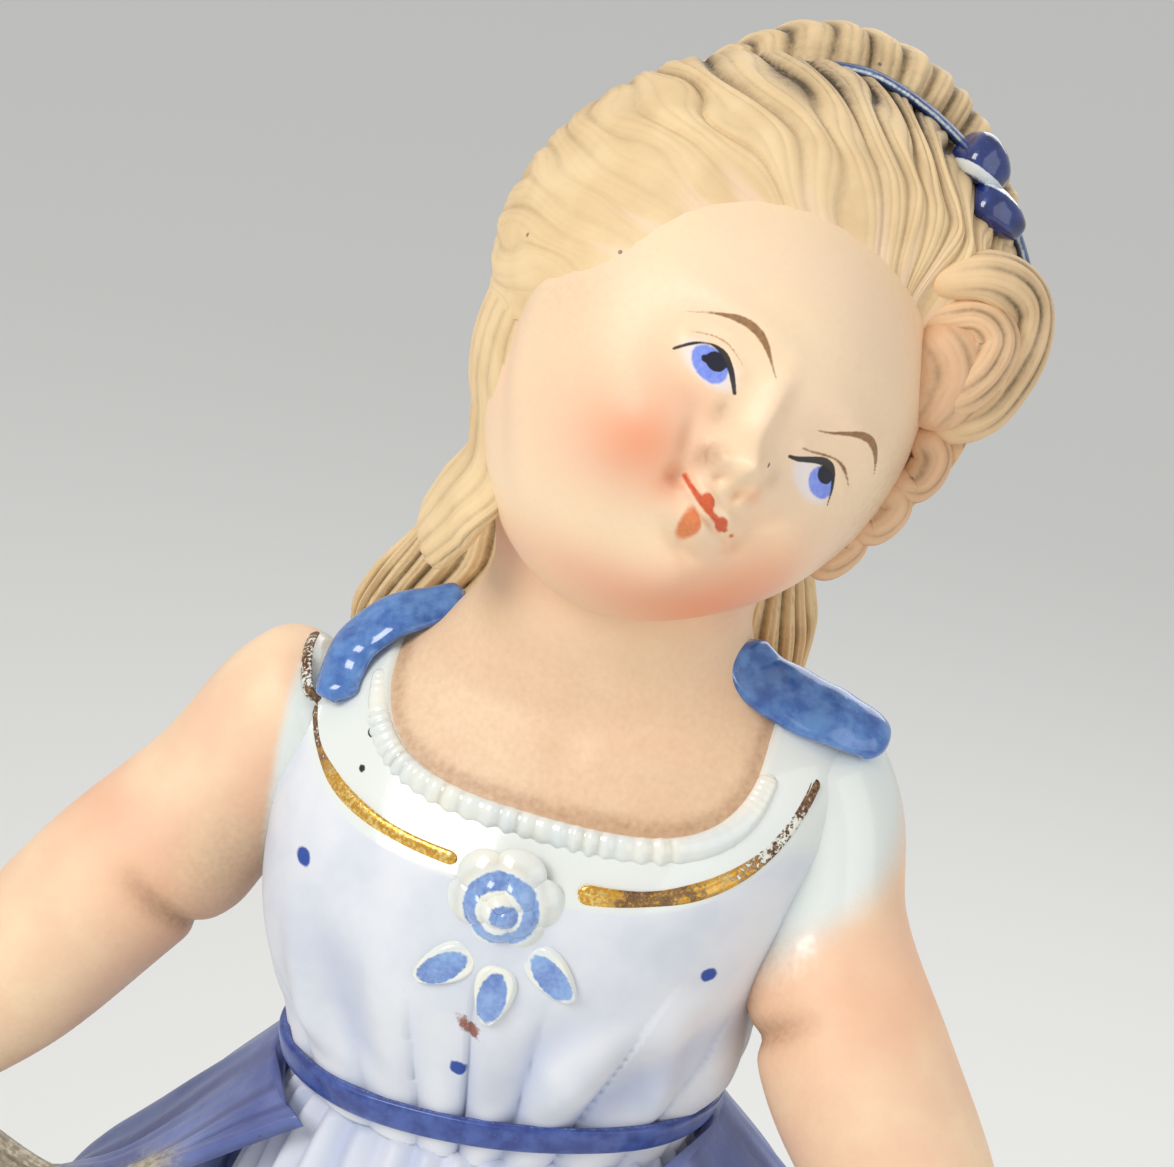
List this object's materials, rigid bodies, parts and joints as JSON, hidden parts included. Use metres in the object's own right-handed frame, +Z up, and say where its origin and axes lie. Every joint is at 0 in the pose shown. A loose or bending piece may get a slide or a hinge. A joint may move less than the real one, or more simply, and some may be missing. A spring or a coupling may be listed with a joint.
{
  "type": "porcelain figurine",
  "caption": "Standing bisque porcelain girl with tilted head, rolled hair, banded bodice and rose, arms held down and out to spread an overskirt, on a round stepped base.",
  "frame": {"origin": "middle of the bounding box, on the plane that the foot of the base rests on", "axes": "+Z up along the figure, -Y the way her body faces, +X towards her left hand"},
  "size_m": [0.1314, 0.1, 0.3007],
  "materials": {
    "base_glaze": "glossy clear glaze over white porcelain, crazed and soiled in the foot",
    "white_bisque": "matte unglazed white bisque",
    "skirt_bisque": "matte bluish white bisque",
    "drape_glaze": "hand-brushed blue violet enamel, semi-gloss, thin over a cream body",
    "skin_bisque": "matte tinted bisque, peach blush",
    "dress_bisque": "matte bluish white bisque",
    "belt_blue": "brushed blue enamel, satin",
    "clear_glaze": "glossy clear glaze over white porcelain",
    "worn_gold": "fired gold line, rubbed through to brown",
    "leaf_blue": "blue enamel under clear glaze",
    "ribbon_blue": "blue enamel under clear glaze, streaky",
    "hair_bisque": "matte pale blond bisque, grey dirt in the grooves",
    "band_blue": "thin grey blue enamel, satin",
    "bow_cobalt": "cobalt enamel, glossy"
  },
  "bodies": {
    "root": {"base": "base_glaze", "leg_left": "white_bisque", "leg_right": "white_bisque", "underskirt": "skirt_bisque", "overskirt": "drape_glaze", "chest_and_neck": "skin_bisque", "bodice": "dress_bisque", "waist_belt": "belt_blue", "neckline_ruffle": "clear_glaze", "gold_cord_right": "worn_gold", "gold_cord_left": "worn_gold", "rose": "clear_glaze", "rose_leaf_right": "leaf_blue", "rose_leaf_middle": "leaf_blue", "rose_leaf_left": "leaf_blue", "shoulder_ribbon_right": "ribbon_blue", "shoulder_ribbon_left": "ribbon_blue", "arm_right": "skin_bisque", "arm_left": "skin_bisque", "hand_right": "skin_bisque", "hand_left": "skin_bisque", "head": "skin_bisque", "hair_front_roll": "hair_bisque", "hair_crown": "hair_bisque", "back_hair": "hair_bisque", "temple_curl_right": "hair_bisque", "temple_curl_left": "hair_bisque", "hair_band": "band_blue", "hair_bow": "bow_cobalt"}
  },
  "joints": []
}
